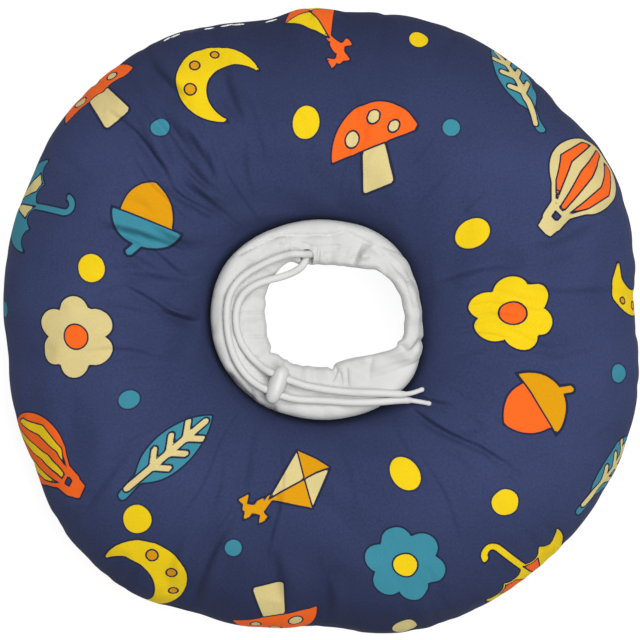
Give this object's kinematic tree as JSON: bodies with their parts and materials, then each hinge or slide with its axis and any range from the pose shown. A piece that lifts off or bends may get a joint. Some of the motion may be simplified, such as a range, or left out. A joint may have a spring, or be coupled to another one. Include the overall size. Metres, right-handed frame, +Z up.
{
  "type": "cat recovery collar",
  "caption": "Soft stuffed ring collar for a cat, with a knitted neck cuff, an elastic drawstring in its hem casing and a bead cord lock, lying flat.",
  "frame": {"origin": "middle of the ring's footprint, on the surface that it lies on", "axes": "+Z up out of the neck opening towards the drawstring side; +X and +Y in the plane of the ring, with the drawstring's tips towards +X and the break in its casing towards +Y"},
  "size_m": [0.3014, 0.2954, 0.0593],
  "materials": {
    "printed_cotton": "matte printed cotton twill over fibre filling, with a few soft folds",
    "cotton_jersey": "soft matte white cotton jersey knit, hemmed into a casing",
    "braided_elastic": "round white braided elastic with heat-sealed ends",
    "lock_plastic": "satin moulded plastic"
  },
  "bodies": {
    "root": {"cushion_ring": "printed_cotton", "neck_cuff": "cotton_jersey", "drawstring": "braided_elastic", "cord_lock": "lock_plastic"}
  },
  "joints": []
}
